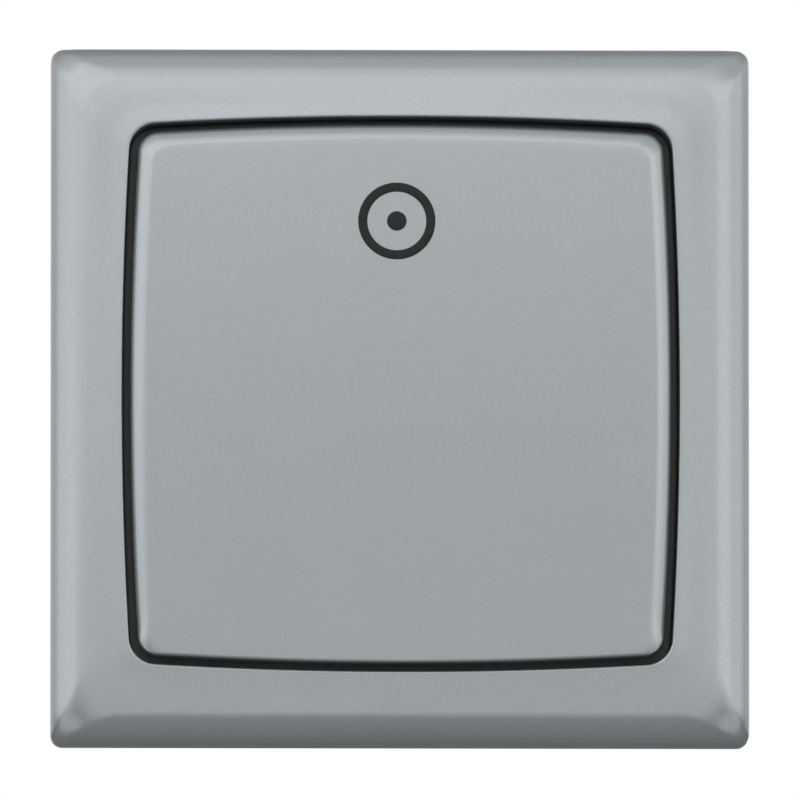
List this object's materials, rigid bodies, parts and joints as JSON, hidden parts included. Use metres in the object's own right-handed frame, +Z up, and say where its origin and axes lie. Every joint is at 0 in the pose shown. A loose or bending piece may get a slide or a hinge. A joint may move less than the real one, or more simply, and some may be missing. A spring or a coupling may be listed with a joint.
{
  "type": "push button light switch",
  "caption": "Flush wall push button for lighting: square frame with rounded shoulders, full size tipping rocker marked with a ring and dot, spring return contact block and claws.",
  "frame": {"origin": "middle of the wall plane, where the frame's back rim and the ring's back lie", "axes": "+X to the right seen from the room, +Y into the wall, +Z up"},
  "size_m": [0.081, 0.0399, 0.081],
  "materials": {
    "silver_lacquer": "silver grey lacquer on moulded plastic, satin",
    "carrier_plastic": "natural moulded plastic, smooth",
    "white_plastic": "pale grey glass filled plastic, fine texture",
    "orange_plastic": "orange moulded plastic",
    "zinc_steel": "zinc plated stamped steel",
    "spring_steel": "bright spring steel",
    "brass": "stamped brass",
    "silver": "silver contact tip"
  },
  "bodies": {
    "root": {"cover_frame": "silver_lacquer", "support_ring": "zinc_steel", "mechanism_cover": "white_plastic", "base_housing": "white_plastic", "housing_screws": "zinc_steel", "fixed_contact_left": "brass", "fixed_contact_right": "brass", "fixed_contact_tips": "silver", "clamp_spring_left": "spring_steel", "clamp_spring_right": "spring_steel", "claw_pin_left": "spring_steel", "claw_pin_right": "spring_steel", "return_spring": "spring_steel"},
    "rocker": {"rocker_cover": "silver_lacquer", "rocker_carrier": "carrier_plastic"},
    "plunger": {"plunger": "carrier_plastic", "contact_bridge": "brass", "moving_contact_tips": "silver", "contact_spring": "spring_steel"},
    "release_lever_left": {"release_lever_left": "orange_plastic"},
    "claw_left": {"claw_left": "zinc_steel"},
    "claw_screw_left": {"claw_screw_left": "zinc_steel"},
    "claw_nut_left": {"claw_nut_left": "zinc_steel"},
    "release_lever_right": {"release_lever_right": "orange_plastic"},
    "claw_right": {"claw_right": "zinc_steel"},
    "claw_screw_right": {"claw_screw_right": "zinc_steel"},
    "claw_nut_right": {"claw_nut_right": "zinc_steel"}
  },
  "joints": [
    {"name": "rocker_tilt", "type": "hinge", "parent": "root", "child": "rocker", "pos_m": [0, -0.005, 0], "axis": [-1, 0, 0], "range_deg": [0, 4.5], "stiffness_Nm_per_rad": 0.3, "springref_deg": -5.73},
    {"name": "plunger_slide", "type": "slide", "parent": "root", "child": "plunger", "axis": [0, 1, 0], "range_m": [0, 0.00104], "deforming": ["return_spring"]},
    {"name": "release_slide_left", "type": "slide", "parent": "root", "child": "release_lever_left", "axis": [0, -1, 0], "range_m": [0, 0.0016], "stiffness_N_per_m": 500, "springref_m": -0.0005, "deforming": ["clamp_spring_left"]},
    {"name": "claw_swing_left", "type": "hinge", "parent": "root", "child": "claw_left", "pos_m": [-0.026, 0.012, 0], "axis": [0, 0, -1], "range_deg": [0, 20]},
    {"name": "claw_screw_turn_left", "type": "hinge", "parent": "root", "child": "claw_screw_left", "pos_m": [-0.0205, 0, 0], "axis": [0, 1, 0], "range_deg": [0, 1155]},
    {"name": "claw_nut_slide_left", "type": "slide", "parent": "root", "child": "claw_nut_left", "axis": [0, -1, 0], "range_m": [0, 0.00193]},
    {"name": "release_slide_right", "type": "slide", "parent": "root", "child": "release_lever_right", "axis": [0, -1, 0], "range_m": [0, 0.0016], "stiffness_N_per_m": 500, "springref_m": -0.0005, "deforming": ["clamp_spring_right"]},
    {"name": "claw_swing_right", "type": "hinge", "parent": "root", "child": "claw_right", "pos_m": [0.026, 0.012, 0], "axis": [0, 0, 1], "range_deg": [0, 20]},
    {"name": "claw_screw_turn_right", "type": "hinge", "parent": "root", "child": "claw_screw_right", "pos_m": [0.0205, 0, 0], "axis": [0, 1, 0], "range_deg": [0, 1155]},
    {"name": "claw_nut_slide_right", "type": "slide", "parent": "root", "child": "claw_nut_right", "axis": [0, -1, 0], "range_m": [0, 0.00193]}
  ],
  "couplings": [
    {"joint": "plunger_slide", "follows": "rocker_tilt", "m_per_rad": 0.013},
    {"joint": "claw_screw_turn_left", "follows": "claw_swing_left", "ratio": 57.596},
    {"joint": "claw_nut_slide_left", "follows": "claw_swing_left", "m_per_rad": 0.0055},
    {"joint": "claw_screw_turn_right", "follows": "claw_swing_right", "ratio": 57.596},
    {"joint": "claw_nut_slide_right", "follows": "claw_swing_right", "m_per_rad": 0.0055}
  ]
}
